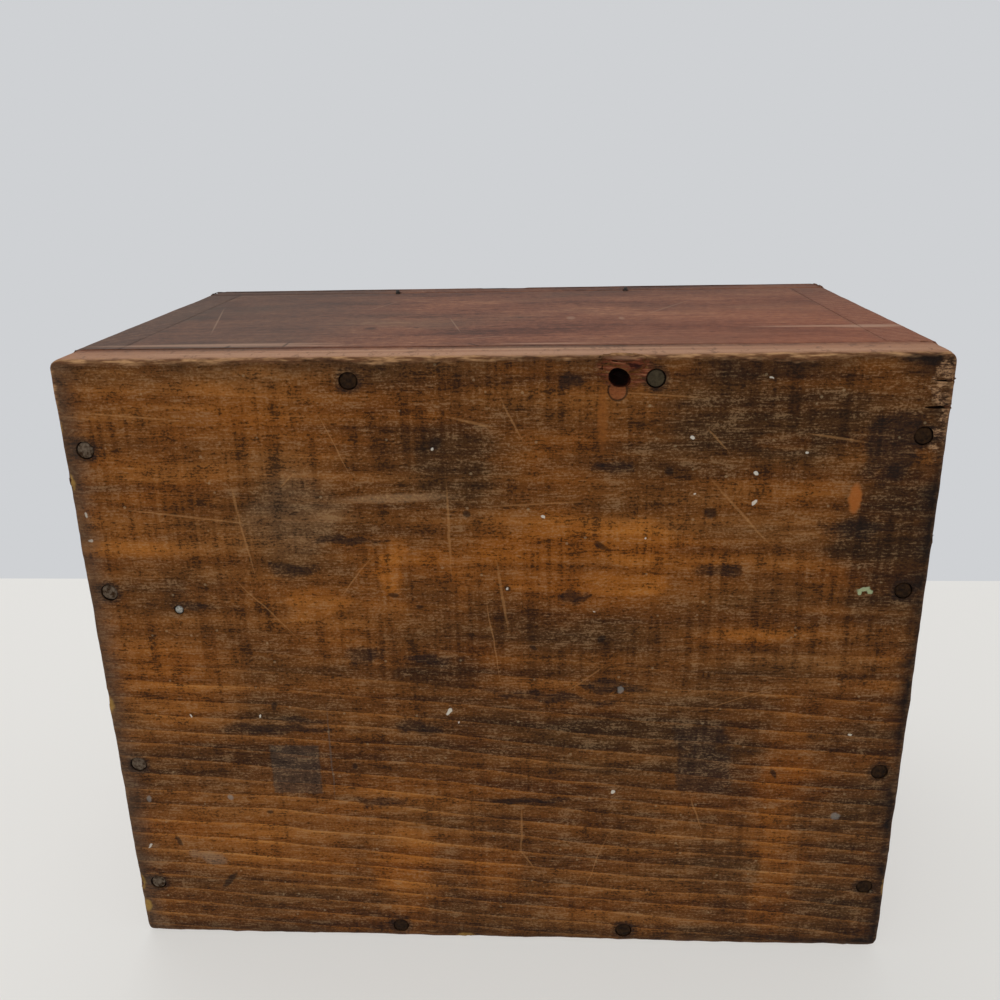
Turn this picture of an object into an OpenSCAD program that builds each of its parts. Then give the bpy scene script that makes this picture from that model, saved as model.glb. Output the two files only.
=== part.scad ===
// Six-board candle box with a flush lid on two snipe hinges.
// Millimetres. +Z is up through the lid, the origin is the centre of the underside,
// the front is at -Y and the back, with the hinges, at +Y.

/* [Case] */
// Outside length of the box, end to end
box_w = 330; // [260:1:420]
// Outside depth of the box, front to back
box_d = 266; // [210:1:320]
// Outside height of the box with the lid closed
box_h = 194; // [150:1:240]
// Worn roundness of the upright corners
corner_r = 5; // [2:0.5:9]

/* [Boards] */
// Thickness of the front and back walls
wall_t = 19; // [16:0.5:24]
// Thickness of the two ends
end_t = 19; // [16:0.5:24]
// Thickness of the bottom board
bottom_t = 19; // [16:0.5:24]
// Thickness of the lid
lid_t = 19; // [16:0.5:24]
// Gap between the rim and the closed lid
lid_gap = 0.3; // [0.2:0.1:0.8]
// Radius that wear and the plane have given the lid's right end
lid_round_right = 14; // [4:0.5:15]
// Radius of the lid's left end
lid_round_left = 8; // [4:0.5:15]

/* [Snipe hinges] */
// Distance between the two hinges
hinge_spacing = 121; // [90:1:160]
// Thickness of the iron wire of the eyes
wire_d = 1.8; // [1.4:0.1:2.2]
// Thickness of the legs, which are drawn down a little
leg_d = 1.6; // [1.2:0.1:1.8]
// Play between the two linked eyes
eye_play = 0.3; // [0.2:0.05:0.6]
// How far the hinge axis lies inside the back face
hinge_inset = 1.2; // [0.8:0.1:2]
// Slope of the cotters through the boards, in degrees
shank_angle = 45; // [38:1:52]
// Length of each leg that is clinched over
leg_length = 11; // [7:0.5:15]
// How deep the middle of a clinched leg lies in the wood
leg_sink = 0.3; // [0:0.1:0.6]
// Room around the wire in its holes
wire_ease = 0.1; // [0.05:0.05:0.3]
// How far the lid opens before its bevel meets the wall, in degrees
lid_opening = 110; // [95:1:120]

/* [Nails] */
// Diameter of a nail's head
nail_head_d = 6.8; // [5:0.1:8]
// Thickness of the head
nail_head_t = 1.2; // [0.8:0.1:2]
// Diameter of the shank
nail_shank_d = 2.9; // [2.2:0.1:3.6]
// Length of a nail under its head
nail_length = 45; // [34:1:56]
// How far the heads are sunk below the wood
nail_sink = 0.4; // [0.2:0.1:1.5]
// Length of a nail's point
nail_point = 4; // [2:0.5:6]
// Room around a nail's shank
nail_ease = 0.06; // [0.03:0.01:0.2]
// Crushed wood around a nail's head
head_ease = 0.5; // [0.2:0.1:1]

/* [Nail places] */
// Distance between the two nails along the front of the bottom
front_nail_spacing = 100; // [70:1:150]
// Distance between the two nails along the back of the bottom
back_nail_spacing = 112; // [80:1:150]
// How far both pairs are off the middle, towards the left
long_nail_shift = 3; // [0:0.5:10]
// Distance of the front pair from the front face
front_nail_inset = 6.5; // [5:0.5:9]
// Distance of the back pair from the back face
back_nail_inset = 9; // [6:0.5:10]
// Distance of the side rows from the end faces
end_nail_inset = 9; // [6:0.5:10]
// Distance of the outer nails of a side row from the front and back faces
end_nail_corner = 32; // [26:1:45]
// Distance between the two middle nails of a side row
end_nail_middle = 81; // [50:1:90]
// Number of nails that hold each upright corner
corner_nail_count = 3; // [2:1:4]
// Height of the lowest and highest corner nail from the wall's edges
corner_nail_margin = 24; // [16:1:30]

/* [Torn nail hole] */
// Distance of the torn hole from its neighbouring nail
torn_offset = 12.2; // [11:0.1:20]
// Depth to which the wood is torn away
torn_depth = 4; // [2:0.5:6]
// Diameter of the empty nail hole
torn_hole_d = 3.6; // [2.5:0.1:4.5]

/* [Stray brad] */
// Distance of the brad from the right end
brad_from_right = 36.5; // [25:0.5:60]
// Distance of the brad behind the middle
brad_behind_middle = 31; // [10:1:60]
// Diameter of the brad's head
brad_head_d = 3.2; // [2.4:0.1:4]
// Diameter of the brad's shank
brad_shank_d = 1.6; // [1.2:0.1:2]
// Length of the brad
brad_length = 14; // [8:1:15]

/* [Hidden] */
$fn = 32;

left = -1;
right = 1;
front = -1;
back = 1;

// Length by which a cut runs past the face that it starts from
over = 1;

rim_z = box_h - lid_t - lid_gap;
wall_h = rim_z - bottom_t;
wall_len = box_w - 2 * end_t;

// Hinge axis, which runs along X
axis_y = box_d / 2 - hinge_inset;
axis_z = rim_z + lid_gap / 2;

// The bevel just clears the back edge of the wall when the lid is fully open
bevel_ease = 0.3;
bevel = hinge_inset * (1 - cos(lid_opening) + sin(lid_opening))
      - lid_gap / 2 * (1 + cos(lid_opening) + sin(lid_opening)) + bevel_ease;

// Two linked eyes of this radius keep eye_play between their wires at every angle
wire_r = wire_d / 2;
eye_r = wire_d + eye_play;
eye_room = 0.4;
wire_room = 0.6;

// The two legs lie side by side, and each starts inside the wire of the eye
leg_r = leg_d / 2;
leg_pair_gap = 0.1;
leg_offset = leg_r + leg_pair_gap / 2;
leg_root = 0.88;
leg_point = leg_d * 1.5;
elbow_swell = 0.05;

// Distance from each eye's centre to the legs, along the shank
wall_reach = (axis_y - (box_d / 2 - wall_t) - leg_sink) / cos(shank_angle);
lid_reach = (box_h - leg_sink - axis_z) / sin(shank_angle) - eye_r;

// Nails were driven by hand: each side row wanders along its board a little
side_rows = [box_d / 2 - end_nail_corner, end_nail_middle / 2,
             -end_nail_middle / 2, -box_d / 2 + end_nail_corner];
right_wander = [-3, -2, -2, -4];
left_wander = [1, 0, -1, 1];

front_nails = [for (side = [right, left])
    [side * front_nail_spacing / 2 - long_nail_shift, -box_d / 2 + front_nail_inset]];
back_nails = [for (side = [right, left])
    [side * back_nail_spacing / 2 - long_nail_shift, box_d / 2 - back_nail_inset]];
left_nails = [for (i = [0:3]) [-box_w / 2 + end_nail_inset, side_rows[i] + left_wander[i]]];
right_nails = [for (i = [0:3]) [box_w / 2 - end_nail_inset, side_rows[i] + right_wander[i]]];

corner_nail_pitch = (wall_h - 2 * corner_nail_margin) / (corner_nail_count - 1);
corner_nail_heights = [for (i = [0:corner_nail_count - 1])
    bottom_t + corner_nail_margin + i * corner_nail_pitch];

torn_hole = [back_nails[1].x + torn_offset, box_d / 2 - back_nail_inset];
// Outline of the torn wood around the empty hole, running out towards the edge
torn_outline = [[-6, -1], [-4.5, -3.5], [-1, -4.5], [2.5, -3.5], [5, -1.5],
                [4.5, 1.5], [6, 4], [2, 6.5], [-3, 7], [-5, 3]];

brad_place = [box_w / 2 - brad_from_right, brad_behind_middle];

// ---------- shared shapes ----------

// Rectangle on the plan of the box with its four upright corners worn round
module plan_outline() {
    square([box_w - 2 * corner_r, box_d], center = true);
    square([box_w, box_d - 2 * corner_r], center = true);
    for (x = [left, right], y = [front, back])
        translate([x * (box_w / 2 - corner_r), y * (box_d / 2 - corner_r)]) circle(corner_r);
}

// A nail with the top of its head at the origin, driven towards +Z
module nail(head_d = nail_head_d, head_t = nail_head_t, shank_d = nail_shank_d,
            length = nail_length, point = nail_point) {
    cylinder(h = head_t, d = head_d);
    translate([0, 0, head_t]) cylinder(h = length - point, d = shank_d);
    translate([0, 0, head_t + length - point]) cylinder(h = point, d1 = shank_d, d2 = shank_d / 5);
}

// The hole that the same nail has made, open at its head
module nail_hole(head_d = nail_head_d, head_t = nail_head_t, shank_d = nail_shank_d,
                 length = nail_length) {
    translate([0, 0, -over]) cylinder(h = over + head_t + nail_ease, d = head_d + 2 * head_ease);
    cylinder(h = head_t + length + nail_ease, d = shank_d + 2 * nail_ease);
}

// Puts its children at each nail of a row under the bottom board
module each_bottom_nail(places) {
    for (p = places) translate([p.x, p.y, nail_sink]) children();
}

// Puts its children at each nail of one upright corner, driven inwards through the end board
module each_corner_nail(end, wall) {
    for (z = corner_nail_heights)
        translate([end * (box_w / 2 - nail_sink), wall * (box_d / 2 - wall_t / 2), z])
            rotate([0, -90 * end, 0]) children();
}

// One leg of a cotter from the eye along the shank, bent over at its end and pointed.
// The wire is a little fuller where it was bent, and longer stretches it for its hole.
module leg(reach, leg_turn, r, longer) {
    translate([leg_offset, 0, eye_r * leg_root]) cylinder(h = reach - eye_r * leg_root, r = r);
    translate([leg_offset, 0, reach]) rotate([0, 0, leg_turn]) {
        sphere(r + elbow_swell);
        rotate([0, 90, 0]) cylinder(h = leg_length - leg_point, r = r);
        translate([leg_length - leg_point, 0, 0]) rotate([0, 90, 0])
            cylinder(h = leg_point + longer, r1 = r, r2 = r / 3);
    }
}

// Both legs of a cotter, with the shank towards +Z and the eye's centre at the origin.
// The slant evens out two legs that meet a sloping face one above the other.
module legs(reach, leg_turn, slant, r, longer) {
    leg(reach - slant, leg_turn, r, longer);
    rotate([0, 0, 180]) leg(reach + slant, leg_turn, r, longer);
}

module eye() {
    rotate([90, 0, 0]) rotate_extrude() translate([eye_r, 0]) circle(wire_r);
}

module place_wall_pin(side) {
    translate([side * hinge_spacing / 2, axis_y, axis_z])
        rotate([90 + shank_angle, 0, 0]) rotate([0, 0, 90]) children();
}

module place_lid_pin(side) {
    translate([side * hinge_spacing / 2, axis_y, axis_z])
        rotate([90 - shank_angle, 0, 0]) translate([0, 0, eye_r]) children();
}

module wall_legs(r = leg_r, longer = 0) {
    legs(wall_reach, 90, leg_offset * tan(shank_angle), r, longer);
}

module lid_legs(r = leg_r, longer = 0) {
    legs(lid_reach, 0, 0, r, longer);
}

// Room in both boards for the wall's eye and for the wire of the lid's eye that runs through it
module joint_room(side) {
    translate([side * hinge_spacing / 2, axis_y, axis_z]) rotate([0, 90, 0]) {
        cylinder(h = 2 * (wire_r + eye_room), r = eye_r + wire_r + eye_room, center = true);
        cylinder(h = 2 * (eye_r + wire_r + eye_room), r = wire_r + wire_room, center = true);
    }
}

// Room in the lid for its own eye
module lid_eye_room(side) {
    place_lid_pin(side) rotate([90, 0, 0])
        cylinder(h = 2 * (wire_r + eye_room), r = eye_r + wire_r + eye_room, center = true);
}

// ---------- boards ----------

module bottom_board() {
    color("#7a4a22") difference() {
        linear_extrude(bottom_t) plan_outline();
        each_bottom_nail(concat(front_nails, back_nails, left_nails, right_nails)) nail_hole();
        translate([torn_hole.x, torn_hole.y, -over]) {
            cylinder(h = bottom_t + 2 * over, d = torn_hole_d);
            linear_extrude(over + torn_depth) polygon(torn_outline);
        }
        translate([brad_place.x, brad_place.y, nail_sink])
            nail_hole(brad_head_d, brad_shank_d / 2, brad_shank_d, brad_length);
    }
}

// Long wall between the ends, with the holes of the nails that reach into it
module long_wall(wall, bottom_nails) {
    difference() {
        translate([-wall_len / 2, wall * (box_d - wall_t) / 2 - wall_t / 2, bottom_t])
            cube([wall_len, wall_t, wall_h]);
        each_bottom_nail(bottom_nails) nail_hole();
        each_corner_nail(left, wall) nail_hole();
        each_corner_nail(right, wall) nail_hole();
        children();
    }
}

module front_wall() {
    color("#6e3a26") long_wall(front, front_nails);
}

module back_wall() {
    color("#6e3a26") long_wall(back, back_nails) {
        translate([torn_hole.x, torn_hole.y, 0]) cylinder(h = nail_length, d = torn_hole_d);
        for (side = [left, right]) {
            joint_room(side);
            place_wall_pin(side) wall_legs(leg_r + wire_ease, wire_ease);
        }
    }
}

// End board: it runs the full depth and covers the ends of the long walls
module end_board(end, bottom_nails) {
    difference() {
        translate([0, 0, bottom_t]) linear_extrude(wall_h) intersection() {
            plan_outline();
            translate([end * (box_w - end_t) / 2, 0]) square([end_t, box_d], center = true);
        }
        each_bottom_nail(bottom_nails) nail_hole();
        each_corner_nail(end, front) nail_hole();
        each_corner_nail(end, back) nail_hole();
    }
}

module left_end() {
    color("#63341f") end_board(left, left_nails);
}

module right_end() {
    color("#63341f") end_board(right, right_nails);
}

// Corner of wood that a round of this radius takes off
module round_off(r) {
    difference() {
        square(r + over);
        circle(r);
    }
}

// Lid seen from the front, with both ends worn over
module lid_profile() {
    difference() {
        translate([-box_w / 2, 0]) square([box_w, lid_t]);
        translate([box_w / 2 - lid_round_right, lid_t - lid_round_right]) round_off(lid_round_right);
        translate([-box_w / 2 + lid_round_left, lid_t - lid_round_left]) mirror([1, 0])
            round_off(lid_round_left);
    }
}

module lid() {
    color("#6e3a26") difference() {
        translate([0, 0, rim_z + lid_gap]) intersection() {
            translate([0, box_d / 2 + over, 0]) rotate([90, 0, 0])
                linear_extrude(box_d + 2 * over) lid_profile();
            linear_extrude(lid_t) plan_outline();
        }
        translate([0, box_d / 2, rim_z + lid_gap]) rotate([45, 0, 0])
            cube([box_w + 2 * over, bevel * sqrt(2), bevel * sqrt(2)], center = true);
        for (side = [left, right]) {
            joint_room(side);
            lid_eye_room(side);
            place_lid_pin(side) lid_legs(leg_r + wire_ease, wire_ease);
        }
    }
}

// ---------- nails ----------

module bottom_nails_front() {
    color("#3b332e") each_bottom_nail(front_nails) nail();
}

module bottom_nails_back() {
    color("#3b332e") each_bottom_nail(back_nails) nail();
}

module bottom_nails_left() {
    color("#3b332e") each_bottom_nail(left_nails) nail();
}

module bottom_nails_right() {
    color("#3b332e") each_bottom_nail(right_nails) nail();
}

module corner_nails_front_left() {
    color("#3b332e") each_corner_nail(left, front) nail();
}

module corner_nails_front_right() {
    color("#3b332e") each_corner_nail(right, front) nail();
}

module corner_nails_back_left() {
    color("#3b332e") each_corner_nail(left, back) nail();
}

module corner_nails_back_right() {
    color("#3b332e") each_corner_nail(right, back) nail();
}

module stray_brad() {
    color("#8a8580") translate([brad_place.x, brad_place.y, nail_sink])
        nail(brad_head_d, brad_shank_d / 2, brad_shank_d, brad_length, brad_shank_d);
}

// ---------- snipe hinges ----------

module wall_pin(side) {
    place_wall_pin(side) {
        eye();
        wall_legs();
    }
}

module lid_pin(side) {
    place_lid_pin(side) {
        eye();
        lid_legs();
    }
}

module left_wall_pin() {
    color("#2f2b29") wall_pin(left);
}

module right_wall_pin() {
    color("#2f2b29") wall_pin(right);
}

module left_lid_pin() {
    color("#2f2b29") lid_pin(left);
}

module right_lid_pin() {
    color("#2f2b29") lid_pin(right);
}

bottom_board();
front_wall();
back_wall();
left_end();
right_end();
lid();
bottom_nails_front();
bottom_nails_back();
bottom_nails_left();
bottom_nails_right();
corner_nails_front_left();
corner_nails_front_right();
corner_nails_back_left();
corner_nails_back_right();
stray_brad();
left_wall_pin();
right_wall_pin();
left_lid_pin();
right_lid_pin();
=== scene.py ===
"""The looks of a six-board candle box with a flush lid on two snipe hinges.

The frame is the CAD model's: metres, +Z up through the lid, front at -Y, back at +Y. In the photograph the
box lies on its front wall with the underside towards the camera, so the camera is below and behind the box.
Places on the boards are given in millimetres in that frame, and X and Y are from the middle of the underside.
"""
import math
import random

import bmesh
import bpy
from mathutils import Matrix, Vector


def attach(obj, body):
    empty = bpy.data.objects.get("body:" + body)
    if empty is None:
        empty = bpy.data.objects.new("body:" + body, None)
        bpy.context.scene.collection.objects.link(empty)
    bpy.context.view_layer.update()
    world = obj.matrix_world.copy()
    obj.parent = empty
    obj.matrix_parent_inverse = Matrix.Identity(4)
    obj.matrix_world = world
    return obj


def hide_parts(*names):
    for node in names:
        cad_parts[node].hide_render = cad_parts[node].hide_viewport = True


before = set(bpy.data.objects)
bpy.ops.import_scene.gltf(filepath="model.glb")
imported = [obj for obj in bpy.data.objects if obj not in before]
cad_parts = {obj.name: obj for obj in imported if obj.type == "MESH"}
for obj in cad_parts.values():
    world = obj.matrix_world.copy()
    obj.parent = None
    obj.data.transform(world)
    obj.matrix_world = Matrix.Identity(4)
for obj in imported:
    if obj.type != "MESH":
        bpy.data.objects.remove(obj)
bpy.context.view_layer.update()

MM = 0.001
random.seed(1870)

HALF_W, HALF_D, HEIGHT = 0.165, 0.133, 0.194
BOARD = 0.019
INSIDE_X, INSIDE_Y = 0.146, 0.114
RIM, LID_LOW = 0.1747, 0.175

# The space of the whole box and of each board, from its lowest to its highest corner
BOX = ((-HALF_W, -HALF_D, 0), (HALF_W, HALF_D, HEIGHT))
BOTTOM = ((-HALF_W, -HALF_D, 0), (HALF_W, HALF_D, BOARD))
FRONT = ((-INSIDE_X, -HALF_D, BOARD), (INSIDE_X, -INSIDE_Y, RIM))
BACK = ((-INSIDE_X, INSIDE_Y, BOARD), (INSIDE_X, HALF_D, RIM))
LEFT = ((-HALF_W, -HALF_D, BOARD), (-INSIDE_X, HALF_D, RIM))
RIGHT = ((INSIDE_X, -HALF_D, BOARD), (HALF_W, HALF_D, RIM))
LID = ((-HALF_W, -HALF_D, LID_LOW), (HALF_W, HALF_D, HEIGHT))


# ---------- camera ----------

def aim(eye, forward, right, roll):
    """The camera's matrix, from where it stands and looks, turned by a roll in degrees."""
    forward, right = Vector(forward).normalized(), Vector(right).normalized()
    up = right.cross(forward)
    c, s = math.cos(math.radians(roll)), math.sin(math.radians(roll))
    turned = Matrix((right * c + up * s, up * c - right * s, -forward)).transposed()
    return Matrix.Translation(eye) @ turned.to_4x4()


bpy.ops.object.select_all(action="DESELECT")
bpy.ops.object.camera_add()
camera = bpy.context.object
camera.matrix_world = aim(eye=(-0.02145, 0.1996, -0.3429), forward=(0.0538, -0.3343, 0.9409),
                          right=(-0.99837, 0, 0.05704), roll=-1.20)
camera.data.lens = 34.63
camera.data.sensor_width = 36
camera.data.clip_start = 0.01
bpy.context.scene.camera = camera
bpy.context.scene.view_settings.view_transform = "Standard"


# ---------- nodes ----------

def linear(hex_colour):
    """The linear colour of an sRGB hex value."""
    parts = [int(hex_colour[i:i + 2], 16) / 255 for i in (1, 3, 5)]
    return (*[c / 12.92 if c < 0.04045 else ((c + 0.055) / 1.055) ** 2.4 for c in parts], 1)


def add(tree, kind, inputs, out=0, colours=(), **settings):
    """Adds a node with its settings and links, and gives one of its outputs.

    An input is a socket to link, a hex colour or a plain value. A ramp has its colours at their places."""
    node = tree.nodes.new("ShaderNode" + kind)
    for name, value in settings.items():
        setattr(node, name, value)
    for name, value in inputs.items():
        if isinstance(value, bpy.types.NodeSocket):
            tree.links.new(value, node.inputs[name])
        else:
            node.inputs[name].default_value = linear(value) if isinstance(value, str) else value
    for i, (place, colour) in enumerate(colours):
        step = node.color_ramp.elements[i] if i < 2 else node.color_ramp.elements.new(place)
        step.position, step.color = place, linear(colour)
    return node.outputs[out] if node.outputs else None


SOFT = {"interpolation_type": "SMOOTHSTEP"}         # a Map Range from its input 1 to its input 2, to 0 and 1
TINT = {"out": 2, "data_type": "RGBA"}              # a Mix of the colour 6 and the colour 7, by the mask 0


def new_material(name):
    material = bpy.data.materials.new(name)
    material.use_nodes = True
    material.node_tree.nodes.clear()
    return material, material.node_tree


def lay(tree, value, *layers):
    """A value with patterns laid on it, each with its strength."""
    for pattern, strength in layers:
        value = add(tree, "Math", {0: pattern, 1: strength, 2: value}, operation="MULTIPLY_ADD")
    return value


def overlap(tree, mask, *others):
    """Where a mask and all the others are."""
    for other in others:
        mask = add(tree, "Math", {0: mask, 1: other}, operation="MULTIPLY")
    return mask


def strongest(tree, masks):
    """The highest of several masks, each joined in as it is made, so the shader holds few values at once."""
    masks = iter(masks)
    result = next(masks)
    for mask in masks:
        result = add(tree, "Math", {0: result, 1: mask}, operation="MAXIMUM")
    return result


def streaks(tree, place, size, detail=2.0, shift=0.0, rough=0.5):
    """An uneven pattern from 0 to 1 whose marks have this size in millimetres along each axis of a place."""
    local = add(tree, "Mapping", {"Vector": place, "Location": (shift, shift, shift),
                                  "Scale": tuple(1 / (s * MM) for s in size)})
    return add(tree, "TexNoise", {"Vector": local, "Scale": 1.0, "Detail": detail, "Roughness": rough})


def spot(tree, x, y, at, size, turn=0.0, soft=0.3, square=False):
    """1 inside an ellipse or a rectangle of this size in millimetres and 0 outside, with a soft edge.

    It works on single numbers, because a vector for each of so many marks is more than a shader can hold."""
    c, s = math.cos(math.radians(turn)), math.sin(math.radians(turn))
    offsets = []
    for (a, b), width in (((c, s), size[0]), ((-s, c), size[1])):
        a, b = 2 * a / (width * MM), 2 * b / (width * MM)
        terms = [(value, factor) for value, factor in ((x, a), (y, b)) if abs(factor) > 1e-6]
        offsets.append(lay(tree, -(a * at[0] + b * at[1]) * MM, *terms))
    if square:
        u, v = (add(tree, "Math", {0: offset}, operation="ABSOLUTE") for offset in offsets)
        away, inner, outer = add(tree, "Math", {0: u, 1: v}, operation="MAXIMUM"), 1 - soft, 1 + soft
    else:
        u, v = offsets
        away = lay(tree, add(tree, "Math", {0: v, 1: v}, operation="MULTIPLY"), (u, u))
        inner, outer = (1 - soft) ** 2, (1 + soft) ** 2
    return add(tree, "MapRange", {0: away, 1: outer, 2: inner}, **SOFT)


# ---------- stage and light ----------

def floor_material(name, colour, glow, unseen):
    """A plain painted table top that only the camera sees, and not where the given mask is 1."""
    material, tree = new_material(name)
    light = add(tree, "LightPath", {}).node
    hidden = lay(tree, 1.0, (light.outputs["Is Camera Ray"], -1.0))
    paint = add(tree, "BsdfPrincipled", {"Base Color": "#8a8986", "Roughness": 0.6, "Emission Color": colour,
                                         "Emission Strength": glow})
    see_through = add(tree, "BsdfTransparent", {})
    add(tree, "OutputMaterial", {0: add(tree, "MixShader", {0: strongest(tree, (hidden, unseen(tree, light))),
                                                            1: paint, 2: see_through})})
    return material


def seen_from_behind(tree, light):
    return add(tree, "NewGeometry", {}, "Backfacing")


def not_the_photograph(tree, light):
    """Hides the photograph's table from every view that hasn't looked through the natural floor first."""
    height = add(tree, "SeparateXYZ", {0: add(tree, "NewGeometry", {}, "Position")}, 2)
    above = add(tree, "Math", {0: height, 1: 0.0}, operation="GREATER_THAN")
    first = add(tree, "Math", {0: light.outputs["Transparent Depth"], 1: 0.5}, operation="LESS_THAN")
    return strongest(tree, (overlap(tree, above, first), seen_from_behind(tree, light)))


bpy.ops.mesh.primitive_plane_add(size=8, location=(0, 0, -0.0002))
floor = bpy.context.object
floor.name = "floor"
floor.data.materials.append(floor_material("painted_floor", "#dddfdf", 0.42, seen_from_behind))

bpy.ops.mesh.primitive_plane_add(size=2, location=(0, -0.1332, -0.606), rotation=(math.radians(-90), 0, 0))
table = bpy.context.object
table.name = "table_of_the_photograph"
table.data.materials.append(floor_material("painted_table", "#e4e2de", 0.66, not_the_photograph))

world = bpy.data.worlds.new("studio")
bpy.context.scene.world = world
world.use_nodes = True
world.node_tree.nodes.clear()
path = add(world.node_tree, "LightPath", {}).node
seen = strongest(world.node_tree, [path.outputs[f"Is {ray} Ray"]
                                   for ray in ("Camera", "Glossy", "Transmission")])
shown = add(world.node_tree, "Mix", {0: seen, 6: (0.60, 0.61, 0.62, 1), 7: "#cfd1d4"}, **TINT)
add(world.node_tree, "OutputWorld", {"Surface": add(world.node_tree, "Background", {"Color": shown})})


def lamp(name, place, size, watts, target=(0, 0, 0.095)):
    """A soft square lamp that looks at the box."""
    bpy.ops.object.light_add(type="AREA", location=place)
    made = bpy.context.object
    made.name = name
    made.data.size = size
    made.data.energy = watts
    made.rotation_euler = (Vector(place) - Vector(target)).to_track_quat("Z", "Y").to_euler()


lamp("lamp_behind", (0.25, 1.35, 0.62), 1.0, 7.0)
lamp("lamp_below", (0.35, 0.55, -1.15), 0.9, 4.0)
lamp("lamp_above", (0.35, -0.75, 1.15), 1.0, 5.0)


# ---------- modelling ----------

def edit(piece, mode="EDGE"):
    bpy.ops.object.select_all(action="DESELECT")
    piece.select_set(True)
    bpy.context.view_layer.objects.active = piece
    bpy.ops.object.mode_set(mode="EDIT")
    bpy.ops.mesh.select_mode(type=mode)


def pick(piece, test, mode="EDGE"):
    """Selects the edges or faces of a piece in edit mode that pass a test."""
    shape = bmesh.from_edit_mesh(piece.data)
    bpy.ops.mesh.select_all(action="DESELECT")
    for part in shape.edges if mode == "EDGE" else shape.faces:
        if test(part):
            part.select_set(True)
    bmesh.update_edit_mesh(piece.data)


def middle(part):
    return sum((v.co for v in part.verts), Vector()) / len(part.verts)


def done():
    bpy.ops.object.mode_set(mode="OBJECT")


def block(name, low, high):
    """A cube that fills the space between two corners."""
    low, high = Vector(low), Vector(high)
    bpy.ops.object.select_all(action="DESELECT")
    bpy.ops.mesh.primitive_cube_add(size=1, location=(low + high) / 2, scale=high - low)
    made = bpy.context.object
    made.name = made.data.name = name
    bpy.ops.object.transform_apply(location=True, rotation=True, scale=True)
    return made


def round_edges(piece, test, radius, segments):
    edit(piece)
    pick(piece, test)
    bpy.ops.mesh.bevel(offset=radius, segments=segments, affect="EDGES")
    done()


def upright_at(corners):
    """Picks the upright edges at these plan corners."""
    def test(edge):
        a, b = (v.co for v in edge.verts)
        at_corner = any(abs(a.x - x) < 1e-5 and abs(a.y - y) < 1e-5 for x, y in corners)
        return at_corner and (a - b).xy.length < 1e-6
    return test


def apply_modifier(piece, kind, **settings):
    modifier = piece.modifiers.new(kind.lower(), kind)
    for name, value in settings.items():
        setattr(modifier, name, value)
    bpy.ops.object.select_all(action="DESELECT")
    piece.select_set(True)
    bpy.context.view_layer.objects.active = piece
    bpy.ops.object.modifier_apply(modifier=modifier.name)


def clouds(name, size, depth=2):
    texture = bpy.data.textures.new(name, "CLOUDS")
    texture.noise_scale = size
    texture.noise_depth = depth
    return texture


warp_clouds = clouds("warp", 0.055)
chip_clouds = clouds("chips", 0.007, 3)
rub_clouds = clouds("rub", 0.030)
GRID = 2.6 * MM


def outside(at):
    """How far a place lies inside the whole box: smallest, middle and largest distance to its faces."""
    return sorted(min(at[i] - BOX[0][i], BOX[1][i] - at[i]) for i in range(3))


def ease(board, worn, tight=0.2 * MM):
    """Rounds a board's arrises: well worn on the outside of the box, and hardly at all in the joints."""
    round_edges(board, lambda edge: edge.calc_face_angle(0) > math.radians(35)
                and max(outside(v.co)[1] for v in edge.verts) > 0.004, tight, 2)
    round_edges(board, lambda edge: edge.calc_face_angle(0) > math.radians(35)
                and max(outside(v.co)[1] for v in edge.verts) <= 0.004, worn, 3)


def weather(board, warp=0.25, chips=0.4, rub=0.5, grid=GRID):
    """Cuts a board into a fine grid and wears it, most of all along the box's own arrises."""
    low = Vector(min(v.co[i] for v in board.data.vertices) for i in range(3))
    high = Vector(max(v.co[i] for v in board.data.vertices) for i in range(3))
    edit(board)
    for axis in range(3):
        count = max(2, round((high[axis] - low[axis]) / grid))
        for i in range(1, count):
            at, normal = Vector(), Vector()
            at[axis] = low[axis] + (high[axis] - low[axis]) * i / count
            normal[axis] = 1
            bpy.ops.mesh.select_all(action="SELECT")
            bpy.ops.mesh.bisect(plane_co=at, plane_no=normal)
    done()
    group = board.vertex_groups.new(name="arris")
    for vertex in board.data.vertices:
        group.add([vertex.index], max(0.0, 1 - outside(vertex.co)[1] / 0.0045) ** 2, "REPLACE")
    apply_modifier(board, "DISPLACE", texture=warp_clouds, texture_coords="LOCAL", strength=warp * MM,
                   mid_level=1.0)
    apply_modifier(board, "DISPLACE", texture=rub_clouds, texture_coords="LOCAL", vertex_group="arris",
                   strength=2.5 * rub * MM, mid_level=0.75)
    apply_modifier(board, "DISPLACE", texture=chip_clouds, texture_coords="LOCAL", vertex_group="arris",
                   strength=2.5 * chips * MM, mid_level=0.8)


def cut(board, cutters, tangled=False):
    """Takes the cutters' shapes out of a board and removes the cutters.

    A tangled cutter runs through itself, as a wire may."""
    bpy.ops.object.select_all(action="DESELECT")
    for tool in cutters:
        tool.select_set(True)
    bpy.context.view_layer.objects.active = cutters[0]
    if len(cutters) > 1:
        bpy.ops.object.join()
    apply_modifier(board, "BOOLEAN", object=cutters[0], operation="DIFFERENCE", solver="EXACT",
                   use_self=tangled)
    bpy.data.objects.remove(cutters[0])


def smooth(piece, degrees=35):
    bpy.ops.object.select_all(action="DESELECT")
    piece.select_set(True)
    bpy.context.view_layer.objects.active = piece
    bpy.ops.object.shade_smooth_by_angle(angle=math.radians(degrees))


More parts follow.
